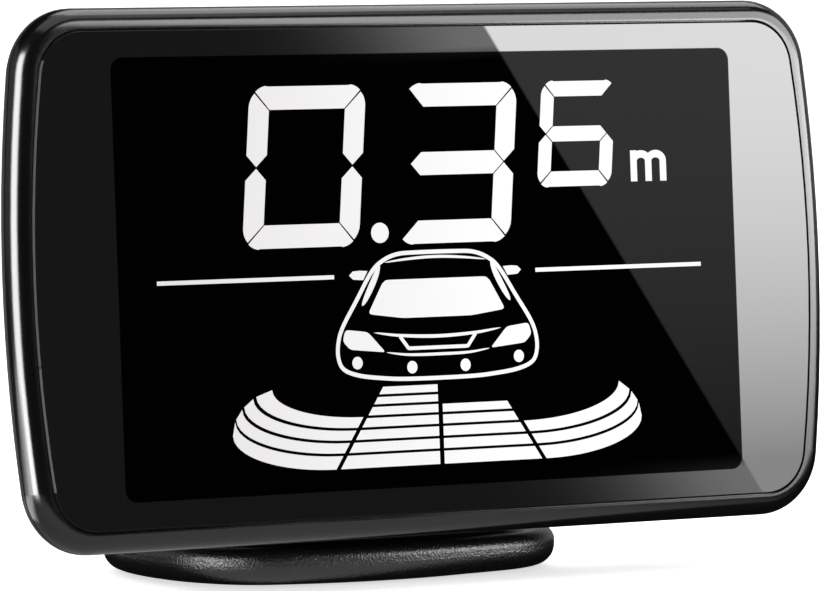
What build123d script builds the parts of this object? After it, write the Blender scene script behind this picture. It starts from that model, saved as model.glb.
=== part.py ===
from build123d import *
import os
from math import cos, radians, sin

# Dashboard distance display of a parking-sensor kit: a slim LCD head that leans on a friction hinge, and a
# weighted base that sticks to the dashboard.
#
# Frame: millimetres, +Z up, the screen faces -Y, +X is the viewer's right. The origin is the centre of the
# adhesive pad's underside, on the dashboard.
#
# The head is drawn upright in its own panel frame and then leaned back: x to the right, y backwards from the
# lens's front face, z up from the middle of the display window.

# ---- Display window and lens ----
window_w = 83.3
window_h = 50.0
lens_border_x = 10.6            # printed border left and right of the window
lens_border_z = 3.15            # printed border above and below it
lens_side_bow = 2.4             # how far the left and right edges bow out, corner to middle
lens_corner = 5.5
lens_t = 1.2
lens_bevel = 0.2
lens_gap = 0.15                 # all round, between the lens and the bezel
lens_proud = 0.1                # the lens stands this far out of the bezel
tape_t = 0.3
tape_w = 1.4

# ---- Head shells ----
rim_w = 2.4                     # width of the bezel's rounded rim
rim_nose = 2.2                  # its front rounding
flank_start = 2.9               # depth at which the rear flanks begin to taper
flank_inset_x = 8.8
flank_inset_z = 3.75
flank_edge = 1.8                # rounding where the flanks begin
back_corner = 7.0
back_side_bow = 2.0
back_edge = 3.0
wall = 1.6
parting_y = 1.9                 # where the bezel meets the rear housing
seam_w = 0.2                    # shadow groove at the parting line
seam_d = 0.25
ledge_t = 1.2                   # bezel ledge that carries the lens
ledge_w = 1.8
skirt_t = 0.8                   # bezel skirt that plugs into the rear housing
skirt_l = 2.4
skirt_gap = 0.1
bead_l = 6.0                    # snap beads on the skirt
bead_h = 0.6
bead_w = 0.7
bead_xs = (-32.0, 0.0, 32.0)
fit_gap = 0.1                   # round parts that drop into a pocket
inner_gap = 0.4                 # between the inner parts and the housing wall
tray_gap = 1.0                  # between the backlight tray and the housing wall

# ---- Liquid crystal cell and backlight ----
glass_t = 0.7
glass_margin_x = 2.3            # glass beyond the window, each side
glass_margin_z = 0.9
contact_ledge_most = 1.8        # front glass below the rear glass, for the contacts, if the skirt leaves room
polariser_t = 0.2
polariser_margin = 0.5
diffuser_t = 0.25
guide_t = 2.0
guide_margin = 0.3
reflector_t = 0.15
frame_back_t = 0.95
zebra_t = 1.3
zebra_l = 78.0
zebra_gap = 0.05                # between the contact strip and the housing wall or the rear glass
led_xyz = (0.9, 1.6, 3.0)
led_pitch = 8.0
led_count = 3
led_board_t = 1.0
led_board_l = 22.0
led_play = 0.15
led_set = 0.2                   # from the guide's front face back to the lamps

# ---- Circuit board and its parts ----
board_t = 1.2
board_standoff = 1.0            # between the backlight frame and the board
chip_size = 10.0
chip_t = 1.5
chip_at = (4.0, 8.0)
driver_xz = (17.0, 6.0)
driver_t = 1.6
driver_at = (4.0, -8.0)
lead_xyz = (0.45, 0.6, 1.1)
lead_pitch = 1.1
lead_in = 0.2                   # leads run this far into the body
chip_leads = 8                  # a side
driver_leads = 14
regulator_xz = (6.5, 3.6)
regulator_t = 1.6
regulator_tab_w = 3.0
regulator_leg_w = 0.7
regulator_tab_l = 1.6
regulator_tab_t = 0.5
regulator_tab_out = 0.7         # middle of the tabs beyond the body's edge
regulator_pitch = 2.3
regulator_at = (17.0, -17.0)
can_r = 2.4
can_h = 4.0
can_foot = 5.2
can_foot_t = 0.6
can_edge = 0.4
can_ats = ((27.0, -19.0), (34.5, -19.0), (20.5, 16.5))
crystal_xz = (8.0, 3.6)
crystal_t = 3.2
crystal_edge = 0.5
crystal_at = (4.0, 17.5)
buzzer_r = 11.0
buzzer_h = 4.0
buzzer_wall = 0.8
buzzer_mouth = 3.0
buzzer_disc_t = 0.3
buzzer_shelf_h = 0.7            # the disc's seat above the case's floor
buzzer_shelf_w = 1.0
buzzer_in = 16.65               # its middle, in from the window's left edge
buzzer_z = 5.0
sounder_gap = 1.2               # between the buzzer and the housing's back wall
gauze_t = 0.25
gauze_r = 11.5

# ---- Sound slots ----
slot_w = 1.2
slot_pitch = 2.6
slot_count = 7
slot_field_r = 9.6

# ---- Cable socket ----
socket_xz = (11.4, 8.4)
socket_wall = 1.0
socket_floor = 1.2
socket_set = 0.4                # its rim below the rear face
socket_play = 0.2
socket_in = 8.65                # its middle, in from the window's right edge
socket_z = -6.0
key_w = 3.0                     # keyway in the socket's upper wall
key_up = 1.0                    # its end above the socket's floor
pin_w = 0.5
pin_pitch = 2.0
pin_count = 4
pin_drop = 2.6                  # pins sit this far below the socket's middle
pin_reach = 3.4                 # pin length above the socket's floor
pin_tail = 0.6                  # pin length in front of the board

# ---- Volume switch ----
switch_xz = (11.0, 5.0)
switch_h = 3.4
switch_in = 8.65
switch_z = 9.0
switch_travel = 2.0             # each way from the middle of three positions
stem_xz = (2.6, 2.0)
stem_gap = 0.35
stem_foot = 1.2                 # the stem's end above the board
pad_xz = (5.4, 3.6)
pad_t = 1.3
pad_corner = 0.8
pad_edge = 0.3
pad_rib = 0.35
pad_rib_w = 0.5
pad_rib_in = 0.5                # rib ends, in from the pad's edges
pad_rib_pitch = 1.2
pad_ribs = 4
dish_xz = (12.0, 6.0)
dish_d = 0.9
dish_corner = 1.4
pad_float = 0.3

# ---- Housing screws ----
screw_r = 1.0
screw_bite = 0.1                # the thread's bite into plastic
screw_play = 0.2
screw_head_r = 1.9
screw_head_h = 1.4
screw_head_edge = 0.5
cross_l = 2.2                   # length of the cross recess's arms, tip to tip
cross_w = 0.5
cross_d = 0.7
boss_r = 3.0
boss_land = 2.4                 # plastic between the board and the screw head
screw_reach = 4.0               # below the board's rear face
tray_post_t = 1.0               # wall of the tray's screw posts
bore_spare = 0.5                # the tray's bores are this much deeper than the screws
screw_out = 3.55                # beyond the window's side edges
screw_z = 16.5

# ---- Hinge ----
lean = 4.03                     # degrees the head leans back at rest
hinge_setback = 17.6            # from the base's front edge back to the axis
hinge_gap = 1.5                 # between the head's rear face and the ears
head_gap = 1.5                  # between the head's lower edge and the top of the flange
hinge_drop = 13.8               # from the window's middle down to the axis
knuckle_r = 5.0
knuckle_w = 11.8
knuckle_fillet = 1.5
washer_t = 0.35
washer_r = 4.2
side_play = 0.05
ear_t = 4.5
ear_edge = 0.9
slot_play = 0.6                 # under the knuckle, between the ears
pivot_r = 1.5
pivot_play = 0.05
pivot_head_r = 2.75
pivot_head_h = 1.9
pivot_head_edge = 0.6
pivot_short = 0.3               # the screw ends this far inside the nut's outer face
nut_flats = 5.5
nut_h = 2.4
pocket_play = 0.1
hex_key = 2.0
hex_key_d = 1.2

# ---- Base ----
base_w = 54.0
base_l = 39.0
base_side_bow = 4.7
base_end_bow = 3.6
base_corner = 14.0
base_lift = 0.4                 # gap between the shell's rim and the dashboard
flange_h = 4.4
flange_foot = 2.3               # lower rounding of the flange
flange_top = 1.5                # upper rounding
step_inset = 3.2                # upper tier, in from the flange's edge
step_h = 1.8
step_top = 1.3
step_foot = 0.8
neck_foot = 2.2
base_wall = 1.5
plate_t = 1.2
plate_inset = 3.4
plate_play = 0.15
pad_t_base = 1.0
pad_inset = 1.2                 # adhesive pad, in from the plate's edge
weight_t = 2.8
weight_corner = 3.0
weight_gap = 0.8                # between the weight and the screw posts
weight_inset = 3.3              # in from the hollow's long sides
post_r = 2.5
post_inset_x = 8.2
post_inset_y = 11.0
base_screw_l = 3.4
base_screw_short = 0.5          # the screw ends this far short of its bore
sunk_cross_l = 2.0

# ---- Worked out from the above ----
lens_w = window_w + 2 * lens_border_x
lens_h = window_h + 2 * lens_border_z
head_w = lens_w + 2 * (lens_gap + rim_w)
head_h = lens_h + 2 * (lens_gap + rim_w)
bezel_front = lens_proud
skirt_end = parting_y + skirt_l
ledge_front = lens_t + tape_t
ledge_back = ledge_front + ledge_t
glass_front = ledge_back + polariser_t
glass_back = glass_front + 2 * glass_t
diffuser_front = glass_back + polariser_t
guide_front = diffuser_front + diffuser_t
guide_back = guide_front + guide_t
tray_back = guide_back + reflector_t
frame_back = tray_back + frame_back_t
board_front = frame_back + board_standoff
board_back = board_front + board_t
back_inner = board_back + buzzer_h + sounder_gap
head_d = back_inner + wall
hinge_depth = head_d + knuckle_r + hinge_gap
glass_w = window_w + 2 * glass_margin_x
glass_top = window_h / 2 + glass_margin_z
guide_w = window_w + 2 * guide_margin
guide_top = window_h / 2 + guide_margin
taper_z = flank_inset_z / (head_d - flank_start)
skirt_inside = head_h / 2 - taper_z * (skirt_end - flank_start) - wall - skirt_gap - skirt_t
contact_ledge = min(contact_ledge_most, skirt_inside - fit_gap - glass_top)
glass_low = -glass_top - contact_ledge
zebra_low = wall + zebra_gap + taper_z * (board_front - flank_start) - head_h / 2
zebra_high = min(zebra_low + zebra_t, -glass_top - zebra_gap)
buzzer_at = (buzzer_in - window_w / 2, buzzer_z)
socket_at = (window_w / 2 - socket_in, socket_z)
switch_at = (window_w / 2 - switch_in, switch_z)
screw_ats = [(sx * (window_w / 2 + screw_out), sz * screw_z) for sx in (-1, 1) for sz in (-1, 1)]
screw_seat = board_back + boss_land
slot_half = knuckle_w / 2 + side_play + washer_t
ear_outer = slot_half + ear_t
flange_z = base_lift + flange_h
shell_top = flange_z + step_h
hinge_y = hinge_setback - base_l / 2
middle_z = flange_z + head_gap + head_h / 2 * cos(radians(lean))
hinge_z = middle_z - hinge_depth * sin(radians(lean)) - hinge_drop * cos(radians(lean))
post_x, post_y = base_w / 2 - post_inset_x, base_l / 2 - post_inset_y
post_ats = [(sx * post_x, sy * post_y) for sx in (-1, 1) for sy in (-1, 1)]
weight_w = 2 * (post_x - post_r - weight_gap)
weight_l = base_l - 2 * (step_inset + base_wall + weight_inset)
plate_top = pad_t_base + plate_t

HEAD = Pos(0, hinge_y, hinge_z) * Rot(-lean, 0, 0) * Pos(0, -hinge_depth, hinge_drop)
made = {}


def keep(node, shape):
    """Files a finished node under its name."""
    made[node] = shape


def bowed(w, h, side_bow, end_bow, corner):
    """Rounded rectangle whose sides bow out on arcs; end_bow 0 leaves the top and bottom straight."""
    cx, cy = w / 2 - side_bow, h / 2 - end_bow
    corners = [(cx, -cy), (cx, cy), (-cx, cy), (-cx, -cy)]
    middles = [(w / 2, 0), (0, h / 2), (-w / 2, 0), (0, -h / 2)]
    bows = [side_bow, end_bow, side_bow, end_bow]
    edges = []
    for i in range(4):
        start, end = corners[i], corners[(i + 1) % 4]
        edges.append(ThreePointArc(start, middles[i], end) if bows[i] else Line(start, end))
    face = make_face(edges)
    return fillet(face.vertices(), corner)


def panel(y):
    """Drawing plane across the head at depth y; its own y runs up, and it faces the viewer."""
    return Plane((0, y, 0), x_dir=(1, 0, 0), z_dir=(0, -1, 0))


def slab(sketch, y0, y1):
    """A sketch on the panel, solid from depth y0 back to depth y1."""
    return extrude(panel(y1) * sketch, y1 - y0)


def block(x0, x1, y0, y1, z0, z1):
    """Box between two corners."""
    middle = Pos((x0 + x1) / 2, (y0 + y1) / 2, (z0 + z1) / 2)
    return middle * Box(abs(x1 - x0), abs(y1 - y0), abs(z1 - z0))


def rod(at, r, y0, y1):
    """Round bar along the head's depth."""
    return slab(Pos(*at) * Circle(r), y0, y1)


def crossbar(r, x0, x1, y, z):
    """Round bar along X."""
    return Pos((x0 + x1) / 2, y, z) * Rot(0, 90, 0) * Cylinder(r, abs(x1 - x0))


def head_outline(inset=0.0):
    """Outer edge of the head, or a line inside it."""
    w, h = head_w - 2 * inset, head_h - 2 * inset
    return bowed(w, h, lens_side_bow, 0, lens_corner + lens_gap + rim_w - inset)


def lens_outline(grow=0.0):
    """Edge of the lens, or a line that far outside it."""
    return bowed(lens_w + 2 * grow, lens_h + 2 * grow, lens_side_bow, 0, lens_corner + grow)


def flank_half_h(y):
    """Half the rear body's height at depth y."""
    return head_h / 2 - taper_z * (y - flank_start)


def flank_outline(y, inset=0.0):
    """Outline of the tapering rear body at depth y, or a line inside it."""
    t = (y - flank_start) / (head_d - flank_start)
    corner = (1 - t) * (lens_corner + lens_gap + rim_w) + t * back_corner - inset
    side_bow = (1 - t) * lens_side_bow + t * back_side_bow
    w = head_w - 2 * (t * flank_inset_x + inset)
    h = 2 * (flank_half_h(y) - inset)
    return bowed(w, h, side_bow, 0, corner)


def taper(y0, y1, inset=0.0):
    """Tapering body between two depths."""
    ends = [panel(y) * flank_outline(y, inset) for y in (y0, y1)]
    return loft(ends, ruled=True)


def head_skin():
    """Solid outer form of the head: rounded rim, tapering flanks, rounded back."""
    rim = slab(head_outline(), bezel_front, flank_start)
    nose = rim.faces().sort_by(Axis.Y)[0].edges()
    rim = fillet(nose, rim_nose)
    body = taper(flank_start, head_d)
    back = body.faces().sort_by(Axis.Y)[-1].edges()
    body = fillet(back, back_edge)
    skin = rim + body
    shoulder = [e for e in skin.edges() if abs(e.center().Y - flank_start) < 1e-3]
    band = flank_start - bezel_front - rim_nose
    return fillet(shoulder, min(flank_edge, 2.5 * band))


SKIN = head_skin()


def cut_screw(at, y_head, y_tip, r):
    """Pan-head screw along the depth, with a cross recess in its head."""
    head = rod(at, screw_head_r, y_head, y_head + screw_head_h)
    head = fillet(head.faces().sort_by(Axis.Y)[-1].edges(), screw_head_edge)
    shank = rod(at, r, y_tip, y_head)
    x, z = at
    top = y_head + screw_head_h
    arm, thick = cross_l / 2, cross_w / 2
    bars = block(x - arm, x + arm, top - cross_d, top + 1, z - thick, z + thick)
    bars += block(x - thick, x + thick, top - cross_d, top + 1, z - arm, z + arm)
    return head + shank - bars


# ---- Lens and bezel ----
def make_lens():
    plate = slab(lens_outline(), 0, lens_t)
    keep("lens_panel", chamfer(plate.faces().sort_by(Axis.Y)[0].edges(), lens_bevel))
    ring = lens_outline() - lens_outline(-tape_w)
    keep("lens_tape", slab(ring, lens_t, ledge_front))


def skirt_beads(grow=0.0):
    """Snap beads on the top and bottom of the skirt; grown, they cut the housing's pockets."""
    mid_y = skirt_end - bead_w
    half = flank_half_h(skirt_end) - wall - skirt_gap
    beads = Part()
    for x in bead_xs:
        for side in (-1, 1):
            z0, z1 = side * (half - skirt_t / 2), side * (half + bead_h + grow)
            beads += block(x - bead_l / 2 - grow, x + bead_l / 2 + grow,
                           mid_y - bead_w / 2 - grow, mid_y + bead_w / 2 + grow, z0, z1)
    return beads


def make_bezel():
    front = SKIN & slab(head_outline(-1), -1, parting_y)
    front -= slab(lens_outline(lens_gap), -1, ledge_front)
    front -= slab(lens_outline(-ledge_w), -1, ledge_back + 1)
    plug = flank_outline(skirt_end, wall + skirt_gap)
    skirt = plug - flank_outline(skirt_end, wall + skirt_gap + skirt_t)
    bezel = front + slab(plug - lens_outline(-ledge_w), ledge_front, ledge_back)
    bezel += slab(skirt, ledge_front, skirt_end) + skirt_beads()
    keep("front_bezel", bezel)


# ---- Liquid crystal cell and backlight ----
def sheet(w, top, bottom, y0, y1):
    """Flat rectangular sheet, centred across the head."""
    return block(-w / 2, w / 2, y0, y1, bottom, top)


def make_cell():
    pol_w = window_w + 2 * polariser_margin
    pol_top = window_h / 2 + polariser_margin
    split = glass_front + glass_t
    keep("front_polariser", sheet(pol_w, pol_top, -pol_top, ledge_back, glass_front))
    keep("front_glass", sheet(glass_w, glass_top, glass_low, glass_front, split))
    keep("rear_glass", sheet(glass_w, glass_top, -glass_top, split, glass_back))
    keep("rear_polariser", sheet(pol_w, pol_top, -pol_top, glass_back, diffuser_front))
    keep("diffuser_sheet", sheet(guide_w, guide_top, -guide_top, diffuser_front, guide_front))
    keep("light_guide", sheet(guide_w, guide_top, -guide_top, guide_front, guide_back))
    keep("reflector_sheet", sheet(guide_w, guide_top, -guide_top, guide_back, tray_back))
    keep("contact_strip", sheet(zebra_l, zebra_high, zebra_low, split, board_front))


def make_backlight():
    """White tray round the cell and the light guide, with the light strip at its left end."""
    tray = slab(flank_outline(board_back, wall + tray_gap), ledge_back, frame_back)
    pocket = glass_w / 2 + fit_gap
    tray -= block(-pocket, pocket, ledge_back - 1, diffuser_front, -head_h, glass_top + fit_gap)
    tray -= block(-pocket, pocket, ledge_back - 1, frame_back + 1, -head_h, -guide_top - fit_gap)
    tray -= block(-guide_w / 2 - fit_gap, guide_w / 2 + fit_gap, ledge_back, tray_back,
                  -guide_top - 1, guide_top + fit_gap)
    led_t, led_h, led_w = led_xyz
    x_guide = -guide_w / 2 - led_play
    x_led = x_guide - led_t
    x_board = x_led - led_board_t
    tray -= block(x_board - fit_gap, x_guide + 1, glass_back, tray_back,
                  -led_board_l / 2 - fit_gap, led_board_l / 2 + fit_gap)
    for at in screw_ats:
        tray += rod(at, screw_r + tray_post_t, frame_back, board_front)
        tray -= rod(at, screw_r - screw_bite, board_back - screw_reach - bore_spare, board_front + 1)
    keep("backlight_tray", tray)
    keep("led_board", block(x_board, x_led, guide_front, tray_back, -led_board_l / 2, led_board_l / 2))
    leds = Part()
    for i in range(led_count):
        z = (i - (led_count - 1) / 2) * led_pitch
        leds += block(x_led, x_led + led_t, guide_front + led_set, guide_front + led_set + led_h,
                      z - led_w / 2, z + led_w / 2)
    keep("backlight_leds", leds)


# ---- Circuit board and its parts ----
def on_board(at, w, h, t, y0=None):
    """Block that stands on the back of the board."""
    x, z = at
    y0 = board_back if y0 is None else y0
    return block(x - w / 2, x + w / 2, y0, y0 + t, z - h / 2, z + h / 2)


def legs(at, half, count, vertical):
    """Two rows of chip leads, left and right of the body or above and below it."""
    across, along, tall = lead_xyz
    rows = Part()
    for side in (-1, 1):
        for i in range(count):
            step = (i - (count - 1) / 2) * lead_pitch
            reach = side * (half + along / 2)
            x, z = (step, reach) if vertical else (reach, step)
            w, h = (across, along + lead_in) if vertical else (along + lead_in, across)
            rows += on_board((at[0] + x, at[1] + z), w, h, tall)
    return rows


def make_board():
    board = slab(flank_outline(board_back, wall + inner_gap), board_front, board_back)
    for at in screw_ats:
        board -= rod(at, screw_r + screw_play, board_front - 1, board_back + 1)
    for i in range(pin_count):
        x = socket_at[0] + (i - (pin_count - 1) / 2) * pin_pitch
        board -= block(x - pin_w / 2, x + pin_w / 2, board_front - 1, board_back + 1,
                       socket_at[1] - pin_drop - pin_w / 2, socket_at[1] - pin_drop + pin_w / 2)
    keep("main_board", board)
    chip = on_board(chip_at, chip_size, chip_size, chip_t)
    chip += legs(chip_at, chip_size / 2, chip_leads, True) + legs(chip_at, chip_size / 2, chip_leads, False)
    keep("microcontroller", chip)
    driver = on_board(driver_at, driver_xz[0], driver_xz[1], driver_t)
    keep("display_driver", driver + legs(driver_at, driver_xz[1] / 2, driver_leads, True))
    x, z = regulator_at
    regulator = on_board(regulator_at, regulator_xz[0], regulator_xz[1], regulator_t)
    row = regulator_xz[1] / 2 + regulator_tab_out
    regulator += on_board((x, z + row), regulator_tab_w, regulator_tab_l, regulator_tab_t)
    for step in (-regulator_pitch, 0, regulator_pitch):
        regulator += on_board((x + step, z - row), regulator_leg_w, regulator_tab_l, regulator_tab_t)
    keep("voltage_regulator", regulator)
    cans = Part()
    for at in can_ats:
        can = rod(at, can_r, board_back + can_foot_t, board_back + can_h)
        can = fillet(can.faces().sort_by(Axis.Y)[-1].edges(), can_edge)
        cans += can + on_board(at, can_foot, can_foot, can_foot_t)
    keep("capacitors", cans)
    can = slab(Pos(*crystal_at) * SlotOverall(crystal_xz[0], crystal_xz[1]), board_back,
               board_back + crystal_t)
    keep("crystal", fillet(can.faces().sort_by(Axis.Y)[-1].edges(), crystal_edge))


def make_buzzer():
    case = rod(buzzer_at, buzzer_r, board_back, board_back + buzzer_h)
    case -= rod(buzzer_at, buzzer_r - buzzer_wall, board_back + buzzer_wall,
                board_back + buzzer_h - buzzer_wall)
    case -= rod(buzzer_at, buzzer_mouth, board_back + buzzer_wall, board_back + buzzer_h + 1)
    shelf_y = board_back + buzzer_wall + buzzer_shelf_h
    shelf = rod(buzzer_at, buzzer_r - buzzer_wall / 2, board_back + buzzer_wall / 2, shelf_y)
    shelf -= rod(buzzer_at, buzzer_r - buzzer_wall - buzzer_shelf_w, board_back, shelf_y + 1)
    keep("buzzer_case", case + shelf)
    keep("buzzer_disc", rod(buzzer_at, buzzer_r - buzzer_wall - fit_gap, shelf_y, shelf_y + buzzer_disc_t))
    keep("sound_gauze", rod(buzzer_at, gauze_r, back_inner - gauze_t, back_inner))


def make_socket():
    x, z = socket_at
    w, h = socket_xz
    rim = head_d - socket_set
    floor_y = board_back + socket_floor
    body = block(x - w / 2, x + w / 2, board_back, rim, z - h / 2, z + h / 2)
    body -= block(x - w / 2 + socket_wall, x + w / 2 - socket_wall, floor_y, rim + 1,
                  z - h / 2 + socket_wall, z + h / 2 - socket_wall)
    body -= block(x - key_w / 2, x + key_w / 2, floor_y + key_up, rim + 1, z + h / 2 - socket_wall - 0.1,
                  z + h / 2 + 1)
    pins = Part()
    for i in range(pin_count):
        px = x + (i - (pin_count - 1) / 2) * pin_pitch
        pin = block(px - pin_w / 2, px + pin_w / 2, board_front - pin_tail, floor_y + pin_reach,
                    z - pin_drop - pin_w / 2, z - pin_drop + pin_w / 2)
        body -= pin
        pins += pin
    keep("cable_socket", body)
    keep("socket_pins", pins)


def make_switch():
    x, z = switch_at
    w, h = switch_xz
    top = board_back + switch_h
    slot_w2 = stem_xz[0] + 2 * (switch_travel + stem_gap)
    body = block(x - w / 2, x + w / 2, board_back, top, z - h / 2, z + h / 2)
    stem_y = board_back + stem_foot
    slot_h2 = stem_xz[1] / 2 + stem_gap
    body -= block(x - slot_w2 / 2, x + slot_w2 / 2, stem_y - stem_gap, top + 1, z - slot_h2, z + slot_h2)
    keep("switch_body", body)
    pad_y = head_d - dish_d + pad_float
    knob = block(x - stem_xz[0] / 2, x + stem_xz[0] / 2, stem_y, pad_y + 0.2,
                 z - stem_xz[1] / 2, z + stem_xz[1] / 2)
    pad = slab(Pos(x, z) * RectangleRounded(pad_xz[0], pad_xz[1], pad_corner), pad_y, pad_y + pad_t)
    pad = fillet(pad.faces().sort_by(Axis.Y)[-1].edges(), pad_edge)
    for i in range(pad_ribs):
        rx = x + (i - (pad_ribs - 1) / 2) * pad_rib_pitch
        reach = pad_xz[1] / 2 - pad_rib_in
        pad += block(rx - pad_rib_w / 2, rx + pad_rib_w / 2, pad_y + pad_t - 0.2, pad_y + pad_t + pad_rib,
                     z - reach, z + reach)
    keep("switch_knob", knob + pad)


# ---- Rear housing ----
def knuckle():
    """Hinge barrel with its web, on the rear face."""
    z = -hinge_drop
    web = block(-knuckle_w / 2, knuckle_w / 2, head_d - 0.5, hinge_depth, z - knuckle_r, z + knuckle_r)
    return web + crossbar(knuckle_r, -knuckle_w / 2, knuckle_w / 2, hinge_depth, z)


def make_rear_housing():
    shell = SKIN & slab(head_outline(-1), parting_y, head_d + 1)
    shell -= slab(head_outline(wall), parting_y - 1, flank_start)
    hollow = taper(flank_start, back_inner, wall)
    shell -= hollow
    shell += knuckle()
    root = [e for e in shell.edges() if abs(e.center().Y - head_d) < 1e-3
            and abs(e.center().X) < knuckle_w / 2 + 0.1 and abs(e.center().Z + hinge_drop) < knuckle_r + 0.1]
    shell = fillet(root, knuckle_fillet)
    shell -= crossbar(pivot_r + pivot_play, -knuckle_w, knuckle_w, hinge_depth, -hinge_drop)
    seam = slab(head_outline(-1) - head_outline(seam_d), parting_y, parting_y + seam_w)
    shell -= seam
    shell -= skirt_beads(fit_gap)
    for at in screw_ats:
        shell += rod(at, boss_r, board_back, head_d) & SKIN
        shell -= rod(at, screw_head_r + screw_play, screw_seat, head_d + 2)
        shell -= rod(at, screw_r + screw_play, board_back - 1, screw_seat + 1)
    shell -= sound_slots()
    x, z = socket_at
    w, h = socket_xz[0] / 2 + socket_play, socket_xz[1] / 2 + socket_play
    shell -= block(x - w, x + w, back_inner - 1, head_d + 1, z - h, z + h)
    x, z = switch_at
    dish = slab(Pos(x, z) * RectangleRounded(dish_xz[0], dish_xz[1], dish_corner), head_d - dish_d, head_d + 1)
    shell -= dish
    w = stem_xz[0] / 2 + switch_travel + stem_gap
    h = stem_xz[1] / 2 + stem_gap
    shell -= block(x - w, x + w, back_inner - 1, head_d + 1, z - h, z + h)
    keep("rear_housing", shell)
    screws = Part()
    for at in screw_ats:
        screws += cut_screw(at, screw_seat, board_back - screw_reach, screw_r)
    keep("housing_screws", screws)


def sound_slots():
    """Upright slots in front of the buzzer, their ends on a circle."""
    x0, z0 = buzzer_at
    slots = Part()
    for i in range(slot_count):
        dx = (i - (slot_count - 1) / 2) * slot_pitch
        half = (slot_field_r ** 2 - dx ** 2) ** 0.5
        shape = Pos(x0 + dx, z0) * Rot(0, 0, 90) * SlotOverall(2 * half, slot_w)
        slots += slab(shape, back_inner - 1, head_d + 1)
    return slots


# ---- Base ----
def base_outline(inset=0.0):
    """Edge of the base in plan, or a line inside it."""
    w, l = base_w - 2 * inset, base_l - 2 * inset
    return bowed(w, l, base_side_bow, base_end_bow, base_corner - inset)


def tier(inset, z0, z1):
    return extrude(Pos(0, 0, z0) * base_outline(inset), z1 - z0)


def make_base_shell():
    flange = tier(0, base_lift, flange_z)
    flange = fillet(flange.faces().sort_by(Axis.Z)[0].edges(), flange_foot)
    flange = fillet(flange.faces().sort_by(Axis.Z)[-1].edges(), flange_top)
    step = tier(step_inset, base_lift + flange_foot, shell_top)
    step = fillet(step.faces().sort_by(Axis.Z)[-1].edges(), step_top)
    shell = flange + step
    foot = [e for e in shell.edges() if abs(e.center().Z - flange_z) < 1e-3]
    shell = fillet(foot, step_foot)
    ears = block(-ear_outer, ear_outer, hinge_y - knuckle_r, hinge_y + knuckle_r, shell_top - 1, hinge_z)
    ears += crossbar(knuckle_r, -ear_outer, ear_outer, hinge_y, hinge_z)
    sides = [f for f in ears.faces() if abs(abs(f.center().X) - ear_outer) < 1e-3]
    ears = fillet([e for f in sides for e in f.edges() if e.center().Z > shell_top - 0.9], ear_edge)
    shell += ears
    root = [e for e in shell.edges() if abs(e.center().Z - shell_top) < 1e-3
            and abs(e.center().X) < ear_outer + 0.1 and abs(e.center().Y - hinge_y) < knuckle_r + 0.1]
    shell = fillet(root, neck_foot)
    gap_floor = hinge_z - knuckle_r - slot_play
    shell -= block(-slot_half, slot_half, hinge_y - base_l, hinge_y + base_l, gap_floor, hinge_z + base_l)
    shell -= crossbar(pivot_r + pivot_play, -ear_outer - 1, ear_outer + 1, hinge_y, hinge_z)
    head_x = ear_outer - pivot_head_h
    shell -= crossbar(pivot_head_r + pocket_play, head_x, ear_outer + 1, hinge_y, hinge_z)
    shell -= hex_bar(nut_flats / 2 + pocket_play, -ear_outer - 1, -ear_outer + nut_h)
    hollow = tier(plate_inset - plate_play, base_lift - 1, plate_top)
    hollow += tier(step_inset + base_wall, base_lift, shell_top - base_wall)
    for x, y in post_ats:
        hollow -= Pos(x, y, (plate_top + shell_top) / 2) * Cylinder(post_r, shell_top - plate_top)
        bore_top = plate_top + base_screw_l
        hollow += Pos(x, y, bore_top / 2) * Cylinder(screw_r - screw_bite, bore_top)
    keep("base_shell", shell - hollow)


def hex_bar(half_flats, x0, x1):
    """Six-sided bar along X on the hinge axis."""
    plane = Plane((x0, hinge_y, hinge_z), x_dir=(0, 1, 0), z_dir=(1, 0, 0))
    return extrude(plane * RegularPolygon(half_flats, 6, major_radius=False), x1 - x0)


def make_base_inside():
    plate = tier(plate_inset, pad_t_base, plate_top)
    screws = Part()
    for x, y in post_ats:
        sink = Pos(x, y, pad_t_base + plate_t / 2) * Cone(screw_head_r, screw_r, plate_t)
        shank_l = base_screw_l - base_screw_short
        shank = Pos(x, y, plate_top + shank_l / 2) * Cylinder(screw_r, shank_l)
        plate -= sink
        recess = Pos(x, y, pad_t_base + cross_d / 2)
        cross = recess * Box(sunk_cross_l, cross_w, cross_d) + recess * Box(cross_w, sunk_cross_l, cross_d)
        screws += sink + shank - cross
    keep("base_plate", plate)
    keep("base_screws", screws)
    shape = RectangleRounded(weight_w, weight_l, weight_corner)
    weight = extrude(Pos(0, 0, plate_top) * shape, weight_t)
    keep("base_weight", weight)
    keep("adhesive_pad", tier(plate_inset + pad_inset, 0, pad_t_base))


# ---- Hinge ----
def make_hinge():
    head_x = ear_outer - pivot_head_h
    screw = crossbar(pivot_r, -ear_outer + pivot_short, head_x, hinge_y, hinge_z)
    head = crossbar(pivot_head_r, head_x, ear_outer, hinge_y, hinge_z)
    head = fillet(head.faces().sort_by(Axis.X)[-1].edges(), pivot_head_edge)
    screw += head
    screw -= hex_bar(hex_key / 2, ear_outer - hex_key_d, ear_outer + 1)
    keep("hinge_screw", screw)
    nut = hex_bar(nut_flats / 2, -ear_outer, -ear_outer + nut_h)
    keep("hinge_nut", nut - crossbar(pivot_r, -ear_outer - 1, ear_outer, hinge_y, hinge_z))
    washers = Part()
    for side in (-1, 1):
        x0, x1 = side * (slot_half - washer_t), side * slot_half
        ring = crossbar(washer_r, x0, x1, hinge_y, hinge_z)
        washers += ring - crossbar(pivot_r + pivot_play, -ear_outer, ear_outer, hinge_y, hinge_z)
    keep("friction_washers", washers)


BASE_NODES = ("base_shell", "base_plate", "base_screws", "base_weight", "adhesive_pad", "hinge_screw",
              "hinge_nut", "friction_washers")


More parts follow.
